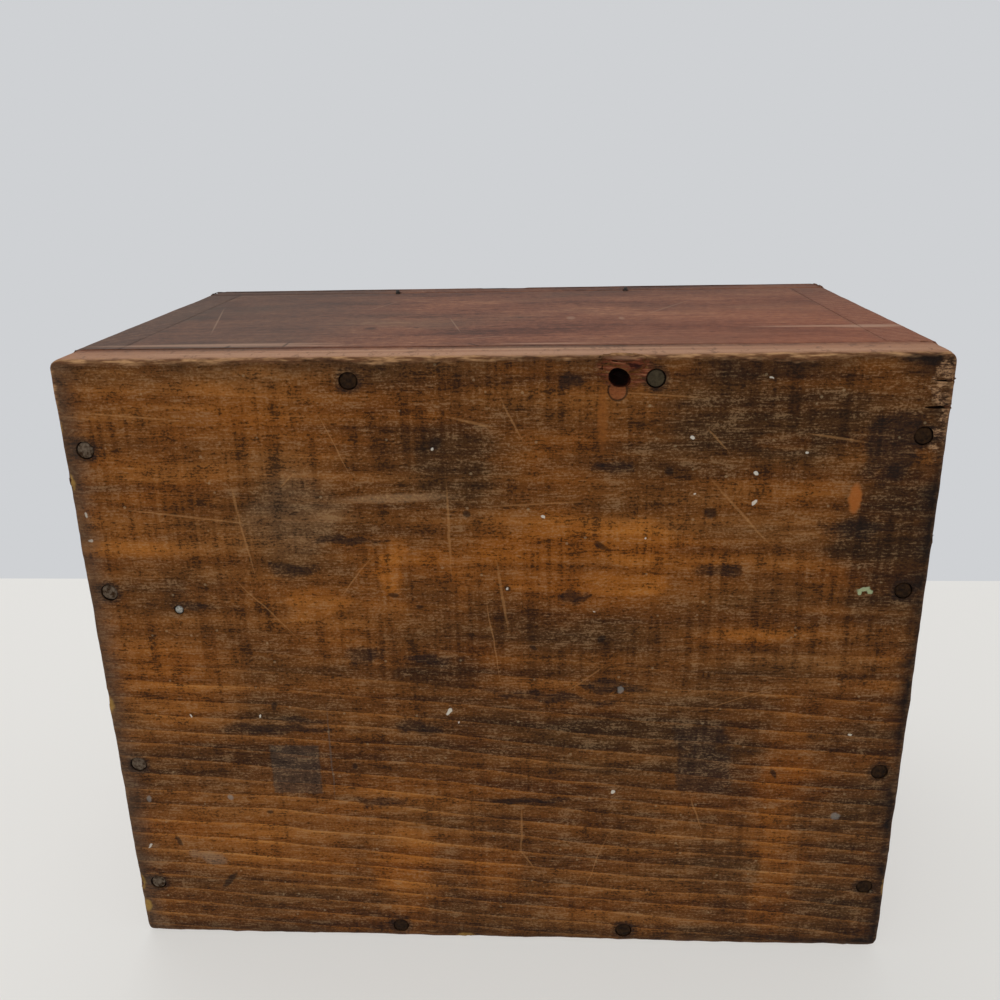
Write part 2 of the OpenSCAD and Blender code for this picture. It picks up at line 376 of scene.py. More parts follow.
def drill(at, towards, radius, depth, vertices=24, before=2 * MM, uneven=0.0):
    """A round cutter that starts a little before a place and runs into the wood."""
    towards = Vector(towards).normalized()
    centre = Vector(at) + towards * (depth - before) / 2
    bpy.ops.mesh.primitive_cylinder_add(vertices=vertices, radius=radius, depth=depth + before,
                                        location=centre,
                                        rotation=towards.to_track_quat("Z", "Y").to_euler())
    made = bpy.context.object
    made.scale = (1 + uneven * random.random(), 1 + uneven * random.random(), 1)
    bpy.ops.object.transform_apply(location=True, rotation=True, scale=True)
    return made


def pebble(at, size, turn=0.0, rough=0.25, fine=2):
    """An uneven lump to break wood out with."""
    bpy.ops.mesh.primitive_ico_sphere_add(subdivisions=fine, radius=0.5, location=Vector(at) * MM,
                                          rotation=(0, 0, math.radians(turn)), scale=Vector(size) * MM)
    made = bpy.context.object
    bpy.ops.object.transform_apply(location=True, rotation=True, scale=True)
    apply_modifier(made, "DISPLACE", texture=chip_clouds, texture_coords="LOCAL",
                   strength=rough * min(size) * MM, mid_level=0.5)
    return made


# ---------- nails' places, as in the CAD model ----------

UP = Vector((0, 0, 1))
NAIL_SINK = 0.4 * MM
BRAD_PLACE = Vector((0.1285, 0.031, NAIL_SINK))
bottom_rows = {
    "bottom_nails_front": [(47, -126.5), (-53, -126.5)],
    "bottom_nails_back": [(53, 124), (-59, 124)],
    "bottom_nails_left": [(-156, 102), (-156, 40.5), (-156, -41.5), (-156, -100)],
    "bottom_nails_right": [(156, 98), (156, 38.5), (156, -42.5), (156, -105)],
}
corner_heights = (43, 96.85, 150.7)
corner_rows = {f"corner_nails_{'front' if wall < 0 else 'back'}_{'left' if end < 0 else 'right'}": (end, wall)
               for end in (-1, 1) for wall in (-1, 1)}


def bottom_places(rows):
    return [(Vector((x * MM, y * MM, NAIL_SINK)), UP) for row in rows for x, y in bottom_rows[row]]


def corner_places(end, wall):
    return [(Vector((end * (165 * MM - NAIL_SINK), wall * 123.5 * MM, z * MM)), Vector((-end, 0, 0)))
            for z in corner_heights]


HEAD_R, HEAD_T, SHANK_R = 3.15 * MM, 1.2 * MM, 1.45 * MM


def recesses(places):
    """The crushed wood round each nail's head."""
    radius, depth = HEAD_R + 0.18 * MM, HEAD_T + 0.1 * MM
    return [drill(at, into, radius, depth, vertices=28, uneven=0.08) for at, into in places]


# ---------- boards ----------

plan_corners = [(x * HALF_W, y * HALF_D) for x in (-1, 1) for y in (-1, 1)]


def plan_block(name, low, high, corners, radius=2.4 * MM):
    made = block(name, low, high)
    round_edges(made, upright_at(corners), radius, 6)
    return made


bottom_board = plan_block("sawn_bottom_board", *BOTTOM, plan_corners, 4.2 * MM)
ease(bottom_board, 1.3 * MM)
front_wall = block("stained_front_wall", *FRONT)
ease(front_wall, 0.8 * MM)
back_wall = block("stained_back_wall", *BACK)
ease(back_wall, 0.8 * MM)
left_end = plan_block("stained_left_end", *LEFT, [c for c in plan_corners if c[0] < 0])
ease(left_end, 0.8 * MM)
right_end = plan_block("stained_right_end", *RIGHT, [c for c in plan_corners if c[0] > 0])
ease(right_end, 0.8 * MM)

lid = block("stained_lid", (-HALF_W, -0.20, LID_LOW), (HALF_W, 0.20, HEIGHT))
for side, radius in ((1, 14 * MM), (-1, 8 * MM)):
    end_edge = Vector((side * HALF_W, 0, HEIGHT))
    round_edges(lid, lambda edge: (middle(edge) - end_edge).length < 1e-4, radius, 10)
plan = plan_block("lid_plan", (-HALF_W, -HALF_D, 0.170), (HALF_W, HALF_D, 0.199), plan_corners)
apply_modifier(lid, "BOOLEAN", object=plan, operation="INTERSECT", solver="EXACT")
bpy.data.objects.remove(plan)
# The bevel that clears the back wall when the lid is open: a square bar on edge, as deep as the bevel is wide
LID_BEVEL = 2.8 * MM
half_side = LID_BEVEL / math.sqrt(2)
bar = block("bevel_bar", (-0.17, -half_side, -half_side), (0.17, half_side, half_side))
bar.data.transform(Matrix.Translation((0, HALF_D, LID_LOW)) @ Matrix.Rotation(math.radians(45), 4, "X"))
cut(lid, [bar])
ease(lid, 1.1 * MM)

# Splits in the end grain at one corner, and knocks along the edges: middle, size, turn
KNOCKS = (
    ((-163, 122.3, 0), (12, 0.8, 4), 1), ((-161.5, 112.7, 0), (13.5, 0.9, 5), -1),
    ((165.2, -10, 2), (2.4, 10, 9), 0), ((165.5, 84.5, 0), (4.0, 6, 3), 0),
    ((165.5, -105, 0), (4.5, 8, 3.6), 0),
    ((18, -133.5, 0), (9, 4, 3), 0), ((-153, -133, 0), (6, 2.4, 2.4), 0), ((60, 133.5, 0), (14, 2.2, 2.2), 0),
    ((112, 133.5, 0), (9, 2.0, 2.4), 0), ((-88, 133.5, 0), (12, 2.2, 2.0), 0),
    ((-165.5, 60, 0), (2.4, 12, 2.6), 0),
)

# An older head's print, and the nail hole that is torn out beside it at the back edge. They overlap, so each
# lump is cut by itself
TORN = (
    ((-45.6, 119.4, 0), (6.9, 6.9, 0.9), 0), ((-46.0, 124.3, 0), (7.8, 6.6, 15), 25),
    ((-44.5, 128.2, 0), (11, 5.0, 3.4), 8), ((-51, 128.6, 0), (8, 5, 2.2), -14),
    ((-47, 131.6, 0), (17, 3.4, 2.0), 3),
)

holes = recesses(bottom_places(bottom_rows)) + [drill(BRAD_PLACE, UP, 2.0 * MM, 1 * MM)]
cut(bottom_board, holes + [pebble(at, size, turn, 0.3) for at, size, turn in KNOCKS])
for at, size, turn in TORN:
    cut(bottom_board, [pebble(at, size, turn, 0.3, 3)])
weather(bottom_board)
cut(left_end, recesses(corner_places(-1, -1) + corner_places(-1, 1)))
weather(left_end, chips=0.2, rub=0.4, grid=1.6 * GRID)
cut(right_end, recesses(corner_places(1, -1) + corner_places(1, 1)))
weather(right_end, chips=0.2, rub=0.4, grid=1.6 * GRID)
weather(front_wall, chips=0.3, rub=0.3, grid=1.6 * GRID)


# ---------- snipe hinges ----------

HINGE_X, AXIS_Y, AXIS_Z = 60.5 * MM, 131.8 * MM, 174.85 * MM
EYE_R, WIRE_R, LEG_R, LEG_OFF, LEG_L = 2.1, 0.9, 0.8, 0.85, 11.0


def cotter_line(reach, turn, slant):
    """Points of the wire, in mm: a leg, its elbow, the shank, round the eye and back to the other leg."""
    half = []
    along = Vector((math.cos(math.radians(turn)), math.sin(math.radians(turn)), 0))
    for side in (1, -1):
        end = reach - slant * side
        root = Vector((side * LEG_OFF, 0, 0))
        tip = ((LEG_L, 0.30), (LEG_L - 1.2, 0.55), (LEG_L - 2.6, LEG_R))
        straight = tuple((reach_out, LEG_R) for reach_out in (7, 4.5, 2.4, 1.1))
        points = [(root + along * side * s + UP * end, r) for s, r in tip + straight]
        points += [(root + along * side * 0.35 + UP * (end - 0.35), LEG_R), (root + UP * (end - 1.1), LEG_R)]
        count = 8
        points += [(root + UP * (end - 1.1 - (end - 1.1 - 3.2) * i / count), LEG_R)
                   for i in range(1, count + 1)]
        half.append(points)
    start = math.asin(LEG_OFF / EYE_R)
    turns = [start + (2 * math.pi - 2 * start) * i / 22 for i in range(23)]
    eye = [(Vector((EYE_R * math.sin(a), 0, EYE_R * math.cos(a))), WIRE_R) for a in turns]
    return half[0] + eye + half[1][::-1]


def wire(name, line, place, thicker=0.0):
    """A wire through the points of a line, as a mesh."""
    curve = bpy.data.curves.new(name, "CURVE")
    curve.dimensions = "3D"
    curve.bevel_depth = MM
    curve.bevel_resolution = 4
    curve.use_fill_caps = True
    spline = curve.splines.new("NURBS")
    spline.points.add(len(line) - 1)
    for point, (at, radius) in zip(spline.points, line):
        point.co = (*(at * MM), 1)
        point.radius = radius + thicker
    spline.use_endpoint_u = True
    spline.order_u = 3
    spline.resolution_u = 3
    made = bpy.data.objects.new(name, curve)
    bpy.context.collection.objects.link(made)
    bpy.ops.object.select_all(action="DESELECT")
    made.select_set(True)
    bpy.context.view_layer.objects.active = made
    bpy.ops.object.convert(target="MESH")
    made.data.transform(place)
    return made


def turn_x(degrees):
    return Matrix.Rotation(math.radians(degrees), 4, "X")


pins, wall_holes, lid_holes, eye_rooms, side_rooms, lid_rooms = {}, [], [], [], [], []
for side, word in ((-1, "left"), (1, "right")):
    centre = Vector((side * HINGE_X, AXIS_Y, AXIS_Z))
    hinge = Matrix.Translation(centre)
    wall_place = hinge @ turn_x(135) @ Matrix.Rotation(math.radians(90), 4, "Z")
    lid_place = hinge @ turn_x(45) @ Matrix.Translation((0, 0, EYE_R * MM))
    wall_line = cotter_line(24.75, 90, LEG_OFF)
    lid_line = cotter_line(24.56, 0, 0)
    pins[f"{word}_wall_pin"] = wire(f"{word}_wall_cotter", wall_line, wall_place)
    pins[f"{word}_lid_pin"] = wire(f"{word}_lid_cotter", lid_line, lid_place)
    wall_holes.append((wall_line, wall_place))
    lid_holes.append((lid_line, lid_place))
    eye_rooms.append((centre, 1.3, 3.4))
    side_rooms.append((centre, 3.4, 1.5))
    lid_rooms.append((lid_place @ Vector(), 1.3, 3.4))

# Each kind of hole is cut by itself, because cutters that overlap leave wood between them
for board, holes, rooms in ((back_wall, wall_holes, (eye_rooms, side_rooms)),
                            (lid, lid_holes, (eye_rooms, side_rooms, lid_rooms))):
    cut(board, [wire("hole", line, place, 0.12) for line, place in holes], tangled=True)
    for kind in rooms:
        cut(board, [drill(at - Vector((half * MM, 0, 0)), (1, 0, 0), radius * MM, 2 * half * MM, before=0)
                    for at, half, radius in kind])
weather(back_wall, chips=0.3, rub=0.3, grid=1.6 * GRID)
weather(lid)


# ---------- nails ----------

def make_nail(name, head_r, head_t, shank_r, length, point):
    """A nail with the top of its head at the origin, driven towards +Z, its head hammered a little uneven."""
    bpy.ops.object.select_all(action="DESELECT")
    bpy.ops.mesh.primitive_cylinder_add(vertices=28, radius=head_r, depth=head_t, location=(0, 0, head_t / 2))
    nail = bpy.context.object
    nail.name = nail.data.name = name
    bpy.ops.object.transform_apply(location=True, rotation=True, scale=True)
    edit(nail, "FACE")
    pick(nail, lambda face: face.normal.z > 0.9, "FACE")
    bpy.ops.mesh.inset(thickness=head_r - shank_r)
    bpy.ops.mesh.extrude_region_move(TRANSFORM_OT_translate={"value": (0, 0, length - point)})
    bpy.ops.mesh.extrude_region_move(TRANSFORM_OT_translate={"value": (0, 0, point)})
    bpy.ops.transform.resize(value=(0.2, 0.2, 1))
    bpy.ops.mesh.select_mode(type="EDGE")
    pick(nail, lambda edge: abs(edge.verts[0].co.z) < 1e-7 and abs(edge.verts[1].co.z) < 1e-7)
    bpy.ops.mesh.bevel(offset=head_t * 0.28, segments=3, affect="EDGES")
    bpy.ops.mesh.select_mode(type="FACE")
    for step in range(4):
        pick(nail, lambda face: face.normal.z < -0.9 and len(face.verts) > 8, "FACE")
        bpy.ops.mesh.inset(thickness=head_r * 0.18)
        bpy.ops.transform.translate(value=(0, 0, -head_t * 0.04))
    bpy.ops.mesh.poke()
    done()
    return nail


def drive(pattern, name, places):
    """Copies a nail to each of its places, turned and tilted by chance, as one piece."""
    copies = []
    for at, into in places:
        copy = pattern.copy()
        copy.data = pattern.data.copy()
        bpy.context.collection.objects.link(copy)
        tilt = Matrix.Rotation(math.radians(random.uniform(-2.5, 2.5)), 4, "X")
        spin = Matrix.Rotation(random.uniform(0, 6.28), 4, "Z")
        wide = Matrix.Diagonal((random.uniform(0.94, 1.04), random.uniform(0.94, 1.04), 1, 1))
        turn = Vector(into).to_track_quat("Z", "Y").to_matrix().to_4x4()
        copy.data.transform(Matrix.Translation(at) @ turn @ tilt @ spin @ wide)
        copies.append(copy)
    bpy.ops.object.select_all(action="DESELECT")
    for copy in copies:
        copy.select_set(True)
    bpy.context.view_layer.objects.active = copies[0]
    if len(copies) > 1:
        bpy.ops.object.join()
    copies[0].name = copies[0].data.name = name
    apply_modifier(copies[0], "DISPLACE", texture=chip_clouds, texture_coords="LOCAL", strength=0.35 * MM,
                   mid_level=0.5)
    return copies[0]


case_nail = make_nail("case_nail", HEAD_R, HEAD_T, SHANK_R, 45 * MM, 4 * MM)
nails = {}
for node in bottom_rows:
    nails[node] = drive(case_nail, node.replace("bottom", "driven"), bottom_places([node]))
for node, (end, wall) in corner_rows.items():
    nails[node] = drive(case_nail, node.replace("corner", "driven_corner"), corner_places(end, wall))
bpy.data.objects.remove(case_nail)
small_nail = make_nail("small_nail", 1.6 * MM, 0.8 * MM, 0.8 * MM, 14 * MM, 1.6 * MM)
brad = drive(small_nail, "small_brad", [(BRAD_PLACE, UP)])
bpy.data.objects.remove(small_nail)


# ---------- wood ----------

def wood_place(tree, order):
    """Object coordinates, their X, Y and Z, and the place along the grain, across it and through it."""
    place = add(tree, "TexCoord", {}, "Object")
    parts = list(add(tree, "SeparateXYZ", {0: place}).node.outputs)
    along_grain = {i: parts["XYZ".index(axis)] for i, axis in enumerate(order)}
    return place, parts, add(tree, "CombineXYZ", along_grain)


def year_rings(tree, grain, pith, width, slope=0.0, wobble=1.0):
    """Where a place lies within a year's growth, 0 to 1: rings this many millimetres wide round the pith."""
    along, across, through = list(add(tree, "SeparateXYZ", {0: grain}).node.outputs)
    waves = streaks(tree, grain, (170, 55, 55), 2.0, 3.1)
    fine = streaks(tree, grain, (45, 14, 14), 2.0, 7.7)
    across = lay(tree, -pith[0] * MM, (across, 1.0), (along, slope))
    through = lay(tree, -pith[1] * MM, (through, 1.0))
    away = add(tree, "VectorMath", {0: add(tree, "CombineXYZ", {1: across, 2: through})}, "Value",
               operation="LENGTH")
    count = lay(tree, 0.0, (away, 1 / (width * MM)), (waves, 1.8 * wobble), (fine, 0.5 * wobble))
    return add(tree, "Math", {0: count}, operation="FRACT")


def inside(tree, value, centre, half):
    """How far a coordinate lies inside a span, in metres."""
    offset = add(tree, "Math", {0: value, 1: centre}, operation="SUBTRACT")
    return add(tree, "Math", {0: half, 1: add(tree, "Math", {0: offset}, operation="ABSOLUTE")},
               operation="SUBTRACT")


def to_arris(tree, parts, corners):
    """The distance to the nearest arris of a space: the second smallest of the distances to its faces."""
    a, b, c = (inside(tree, part, (low + high) / 2, (high - low) / 2)
               for part, low, high in zip(parts, *corners))
    least = add(tree, "Math", {0: a, 1: b}, operation="MINIMUM")
    most = add(tree, "Math", {0: a, 1: b}, operation="MAXIMUM")
    return strongest(tree, (least, add(tree, "Math", {0: most, 1: c}, operation="MINIMUM")))


def inside_box(tree, parts):
    """1 on the boards' faces that close in the candle space."""
    x, y, z = parts
    depth = add(tree, "Math", {0: inside(tree, x, 0, INSIDE_X), 1: inside(tree, y, 0, INSIDE_Y)},
                operation="MINIMUM")
    depth = add(tree, "Math", {0: depth, 1: inside(tree, z, 0.097, 0.0784)}, operation="MINIMUM")
    return add(tree, "MapRange", {0: depth, 1: -0.0009, 2: -0.0005}, **SOFT)


def bare_wood(tree, grain, phase, fibres):
    """Pine that was never finished, brown with age and candle smoke."""
    late = add(tree, "MapRange", {0: phase, 1: 0.55, 2: 0.97}, **SOFT)
    tone = lay(tree, -0.08, (streaks(tree, grain, (80, 24, 24), 3.0, 15.1), 0.75), (fibres, 0.45),
               (late, -0.16))
    return add(tree, "ValToRGB", {0: tone}, colours=((0.0, "#4a2f18"), (0.3, "#755030"), (0.6, "#96704a"),
                                                     (1.0, "#b58f66")))


def stained_wood(tree, place, grain, phase, fibres, end_distance):
    """Planed pine under an old red-brown stain: mottled, dulled by dust, ribbed on the end grain."""
    broad = streaks(tree, grain, (95, 34, 34), 4.0, 1.9, 0.6)
    brushed = streaks(tree, grain, (50, 3.0, 3.0), 3.0, 6.3, 0.6)
    speckle = streaks(tree, place, (3.2, 2.4, 2.4), 4.0, 13.3, 0.78)
    tone = lay(tree, -1.11, (broad, 1.15), (brushed, 0.62), (fibres, 0.45), (speckle, 1.06))
    colour = add(tree, "ValToRGB", {0: tone}, colours=((0.0, "#26130c"), (0.3, "#502c1c"), (0.5, "#6d422e"),
                                                       (0.7, "#815239"),
                                                       (1.0, "#a6795a")))
    dusty = add(tree, "MapRange", {0: streaks(tree, place, (80, 60, 60), 3.0, 21.4), 1: 0.46, 2: 0.66},
                **SOFT)
    colour = add(tree, "Mix", {0: overlap(tree, dusty, 0.42), 6: colour, 7: "#584838"}, **TINT)
    rings = add(tree, "TexVoronoi", {"Vector": grain, "Scale": 1 / (17 * MM), "Randomness": 1.0})
    dents = add(tree, "MapRange", {0: lay(tree, rings, (speckle, 0.25)), 1: 0.22, 2: 0.17}, **SOFT)
    colour = add(tree, "Mix", {0: overlap(tree, dents, 0.55), 6: colour, 7: "#21120b"}, **TINT)
    slanted = add(tree, "Mapping", {"Vector": grain, "Rotation": (0.4, 0.4, 0.5)})
    hair = streaks(tree, slanted, (34, 0.6, 34), 2.0, 2.2)
    scratched = add(tree, "MapRange", {0: hair, 1: 0.70, 2: 0.78}, **SOFT)
    colour = add(tree, "Mix", {0: overlap(tree, scratched, 0.35), 6: colour, 7: "#b08a6c"}, **TINT)
    ribs = add(tree, "MapRange", {0: phase, 1: 0.25, 2: 0.95}, **SOFT)
    pores = add(tree, "ValToRGB", {0: lay(tree, -0.29, (ribs, 0.18), (fibres, 0.5), (speckle, 0.80))},
                colours=((0.0, "#341d13"), (0.4, "#633f2e"), (1.0, "#a98a72")))
    cut_end = add(tree, "MapRange", {0: end_distance, 1: 0.0016, 2: 0.0006}, **SOFT)
    return add(tree, "Mix", {0: overlap(tree, cut_end, 0.55), 6: colour, 7: pores}, **TINT)


def worn_arris(tree, colour, arris, grain, amount, pale="#94694a"):
    """Rubs the colour back to pale wood along the box's arrises, here more and there less."""
    worn = streaks(tree, grain, (30, 18, 18), 4.0, 11.2, 0.7)
    frayed = streaks(tree, grain, (7, 1.5, 1.5), 3.0, 5.5, 0.65)
    reach = lay(tree, 0.0052, (arris, 1.0), (worn, -0.0070), (frayed, -0.0034))
    rubbed = add(tree, "MapRange", {0: reach, 1: 0.0029, 2: 0.0003}, **SOFT)
    patchy = add(tree, "MapRange", {0: streaks(tree, grain, (9, 1.3, 1.3), 3.0, 9.3, 0.65), 1: 0.40,
                                    2: 0.66}, **SOFT)
    tint = add(tree, "Mix", {0: patchy, 6: "#6a452b", 7: pale}, **TINT)
    return add(tree, "Mix", {0: overlap(tree, rubbed, amount), 6: colour, 7: tint}, **TINT)


def wood_surface(tree, colour, height, rough):
    """Dry wood without varnish has next to no gloss, so its own colour shows also at a low angle."""
    bump = add(tree, "Bump", {"Height": height, "Distance": MM, "Strength": 0.9})
    add(tree, "OutputMaterial", {0: add(tree, "BsdfPrincipled",
                                        {"Base Color": colour, "Roughness": rough, "Normal": bump,
                                                                 "Specular IOR Level": 0.10})})


# Places on the underside that are lighter or darker, and warmer or greyer: middle, size, turn, lighter,
# warmer
PATCHES = (
    ((-36, 53), (76, 38), 0, 0.10, 0.45), ((-55, 60), (30, 15), -3, 0.10, 0.35),
    ((-50, 43), (32, 10), 0, 0.14, 0.35), ((43, 50), (13, 22), 0, 0.11, 0.45),
    ((30, 42), (40, 26), 0, 0.06, 0.35), ((72, 34), (26, 12), 0, 0.12, 0.30),
    ((-100, 21), (28, 7), 3, 0.03, 0.25), ((-104, 100), (22, 6), 0, 0.06, 0.5),
    ((42, -97), (26, 44), 0, 0.10, 0.35), ((-116, -70), (19, 100), 0, 0.06, 0.34),
    ((4, -98), (22, 26), 0, 0.05, 0.3), ((110, -80), (86, 50), 0, 0.11, 0.15),
    ((132, -2), (50, 44), 0, 0.10, 0.20), ((105, 108), (120, 44), 0, 0.08, 0.10),
    ((122, 66), (56, 44), 0, 0.09, 0.05), ((-100, 112), (64, 34), 0, -0.12, -0.35),
    ((15, 93), (26, 30), 0, -0.09, -0.20), ((80, 72), (36, 44), 0, 0.10, -0.25),
    ((-148, 60), (32, 60), 0, -0.20, -0.35), ((28, 38), (18, 20), 0, -0.10, -0.2),
    ((22, 4), (34, 14), 0, -0.14, -0.2), ((-38, 20), (44, 14), 0, -0.08, -0.1),
    ((-40, -28), (130, 26), 3, -0.08, -0.15), ((-148, -70), (22, 130), 0, -0.06, -0.1),
    ((-55, 92), (56, 14), 0, -0.08, -0.2), ((-94, -75), (24, 80), 0, -0.07, -0.1),
    ((128, 42), (13, 16), 0, -0.12, -0.05),
)

# Oil and iron stains, blue-black: middle, size, turn
STAINS = (
    ((78, 48.5), (21, 7.5), 2), ((-87, 50), (21, 6.5), 0), ((121, 33), (13, 5), 3),
    ((-44, 90), (16, 5.5), 0), ((-30, 38), (10, 5), 0), ((55, 11), (14, 9), 0), ((28, 10), (22, 4.5), 2),
    ((60, 61), (26, 3), -3), ((-28, 122), (12, 6), 0), ((-10, -58), (30, 3), 3), ((95, -24), (46, 5), 2),
    ((-146, 98), (15, 26), 0), ((50, -60), (24, 4), 2), ((-45, -2), (30, 4), 4), ((35, -23), (20, 8), 0),
    ((-20, -8), (60, 4), 3), ((84, -20), (18, 5), 0), ((-135, 66), (20, 10), 0),
)

# Nicks and old dents with grime in them: middle, size, turn
NICKS = (
    ((-81, 72.3), (4.6, 4.0), 10), ((-40, 59), (5, 2.2), 30), ((123, -103), (2.6, 10), 38),
    ((143.5, -82), (2, 5), -20), ((11, 72), (2.8, 2.4), 45), ((-41, 19), (3.4, 2.6), -30),
    ((-4, 41), (3, 2), 20), ((-113, -43), (1.6, 5), -25), ((41, 38), (4, 1.8), 15),
    ((31, 33), (2.2, 1.6), 0), ((-14, 15), (3, 1.8), 30), ((101, -66), (3, 1.6), 0),
    ((-65, 89), (3.2, 3.0), 0), ((94, -13), (2, 4), 10), ((62, -42), (2.4, 2.4), 0),
    ((22, 100), (5, 4), -40),
)

# Scratches down to pale wood: middle, size, turn
SCRATCHES = (
    ((100.5, 77), (0.9, 8), -5), ((98, 61), (0.7, 23), -9), ((93, 32), (0.5, 31), -42),
    ((-93, 72), (0.8, 28), -42), ((8, 108), (14, 0.9), 14), ((-8, -74), (0.8, 20), 2),
    ((-10, -88), (0.7, 10), -35), ((18, 65), (0.9, 30), 0), ((-125, 101.5), (18, 0.8), 9),
    ((-7, 109), (0.6, 15), -25), ((-35, 1), (0.6, 14), 52), ((-2, 38), (1.0, 24), -8),
    ((2, 18), (0.5, 30), -8), ((-82, 101), (0.6, 9), -42), ((-82, -63), (0.6, 14), -18),
    ((79, 86), (0.5, 7), 45), ((56, 45), (0.5, 18), 38), ((-15, 76), (30, 0.6), -3),
    ((120, 71), (44, 0.7), 7), ((136, 111), (30, 0.6), 5), ((-98, -7), (0.4, 26), 70),
    ((60, 100), (0.4, 22), -24), ((-40, -90), (0.4, 26), 18), ((-60, 118), (24, 0.5), 4),
)

# Drops of pale paint and plaster: middle, size, turn
DROPS = (
    ((23, 98), (1.0, 1.0), 0), ((-73, 102), (1.4, 1.5), 20), ((-97, 88), (1.5, 1.3), 20),
    ((-115, 96), (1.2, 1.0), 0), ((-97, 76.5), (1.0, 2.2), 40), ((-18, 71), (1.6, 1.0), 20),
    ((-4, 41), (1.0, 1.0), 0), ((-47, -53), (1.6, 1.8), 0), ((-142, -24), (1.8, 0.9), 0),
    ((160, 72), (1.0, 2.1), 0), ((160, 61), (1.8, 1.0), 0), ((21, -15), (1.4, 3.7), 30),
    ((130, -18), (0.7, 1.6), -20), ((100.5, -18), (0.7, 1.8), 20), ((17, -20), (0.7, 1.4), 20),
    ((-57, 62), (0.9, 0.8), 0), ((157, -85), (1.0, 2.7), 40), ((-38, 31), (0.7, 0.6), 0),
    ((-100, 124), (1.3, 0.7), 20), ((-75, 80), (0.8, 0.7), 0),
)


def rough_pine():
    """Rough-sawn white pine, never planed or finished.

    The eye gets a matt brown face with orange patches, dark grime with painted shade in the torn fibres and
    the saw marks, light dusty fibres with painted highlights, pale growth lines, and at the back edge a worn,
    lighter arris."""
    material, tree = new_material("rough_sawn_pine")
    place, parts, grain = wood_place(tree, "XYZ")
    x, y, z = parts
    drift = streaks(tree, place, (13, 13, 13), 3.0)
    ragged = (lay(tree, -0.015, (drift, 0.030), (x, 1.0)),
              lay(tree, -0.005, (streaks(tree, place, (13, 13, 13), 3.0, 31.7), 0.010), (y, 1.0)))
    bitten = (lay(tree, -0.0008, (streaks(tree, place, (2.2, 2.2, 2.2), 2.0), 0.0016), (x, 1.0)),
              lay(tree, -0.0008, (streaks(tree, place, (2.2, 2.2, 2.2), 2.0, 31.7), 0.0016), (y, 1.0)))
    bent = (lay(tree, -0.0012, (drift, 0.0024), (x, 1.0)), y)

    phase = year_rings(tree, grain, (34, -22), 7.4, -0.085, 0.8)
    fibres = streaks(tree, grain, (6, 0.55, 0.55), 3.0, 2.4, 0.65)
    pepper = streaks(tree, place, (1.25, 0.85, 0.85), 3.0, 8.8, 0.7)
    mottle = streaks(tree, grain, (10, 5, 5), 4.0, 14.2, 0.62)
    stroke = streaks(tree, grain, (3.0, 70, 40), 3.0, 4.2)
    sawn = add(tree, "MapRange", {0: streaks(tree, grain, (50, 28, 30), 2.0, 9.1), 1: 0.36, 2: 0.56}, **SOFT)
    saw_marks = overlap(tree, sawn, add(tree, "MapRange", {0: stroke, 1: 0.40, 2: 0.66}, **SOFT))
    lower = add(tree, "MapRange", {0: y, 1: 0.030, 2: -0.030, 3: 0.15}, **SOFT)
    saw_marks = lay(tree, saw_marks, (overlap(tree, saw_marks, lower), -0.5))
    fine = lay(tree, -0.12, (fibres, 0.48), (pepper, 0.68), (mottle, 0.47), (saw_marks, -0.085))

    early = add(tree, "MapRange", {0: phase, 1: 0.26, 2: 0.0}, **SOFT)
    late = add(tree, "MapRange", {0: phase, 1: 0.45, 2: 0.92}, **SOFT)
    bands = streaks(tree, grain, (140, 6, 9), 3.0, 5.9, 0.6)
    tone = lay(tree, -0.17, (streaks(tree, grain, (80, 26, 40), 3.0, 1.3), 0.50), (bands, 0.75),
               (overlap(tree, early, lower), 0.25), (overlap(tree, late, lower), -0.13), (saw_marks, -0.06))
    warm = lay(tree, -0.38, (streaks(tree, grain, (60, 18, 30), 2.0, 6.6), 1.5))
    for at, size, turn, lighter, warmer in PATCHES:
        mask = spot(tree, *ragged, at, size, turn, 0.45)
        tone, warm = lay(tree, tone, (mask, lighter)), lay(tree, warm, (mask, warmer))
    grimy = add(tree, "ValToRGB", {0: tone}, colours=((0.0, "#1f1106"), (0.25, "#3b230d"), (0.5, "#593716"),
                                                      (0.75, "#7a5028"),
                                                      (1.0, "#9c7345")))
    clean = add(tree, "ValToRGB", {0: tone}, colours=((0.0, "#301404"), (0.25, "#5f3009"), (0.5, "#854a12"),
                                                      (0.75, "#a76522"),
                                                      (1.0, "#c68a48")))
    colour = add(tree, "Mix", {0: warm, 6: grimy, 7: clean}, **TINT)

    # A paler square where something lay, a dark smudge, and dust that clings to the surface
    for mask, tint, strength in ((spot(tree, *bitten, (87.5, -44), (21, 24), 0, 0.05, square=True),
                                  "#3c352d", 0.62),
                                 (spot(tree, *ragged, (-83, -37), (19, 32), 0, 0.22, square=True),
                                  "#2d2119", 0.62),
                                 (overlap(tree, spot(tree, *ragged, (77, 72), (28, 26), 0, 0.6), pepper),
                                  "#8b765c", 0.27),
                                 (spot(tree, *ragged, (129, -91), (13, 7), 0, 0.5), "#85715c", 0.45)):
        colour = add(tree, "Mix", {0: overlap(tree, mask, strength), 6: colour, 7: tint}, **TINT)

    # What the fine grain does: dark grime in the hollows with painted shade in them, light and dusty fibres
    # on top
    fibre_grime_and_shade = add(tree, "MapRange", {0: fine, 1: 0.655, 2: 0.53}, **SOFT)
    colour = add(tree, "Mix", {0: overlap(tree, fibre_grime_and_shade, 0.76), 6: colour, 7: "#150b04"}, **TINT)
    # Painted highlight: the raised fibres are lightened as if they caught the light, together with their dust
    dusty_fibres_and_highlight = add(tree, "MapRange", {0: fine, 1: 0.69, 2: 0.83}, **SOFT)
    colour = add(tree, "Mix", {0: overlap(tree, dusty_fibres_and_highlight, 0.38), 6: colour, 7: "#a5835c"}, **TINT)

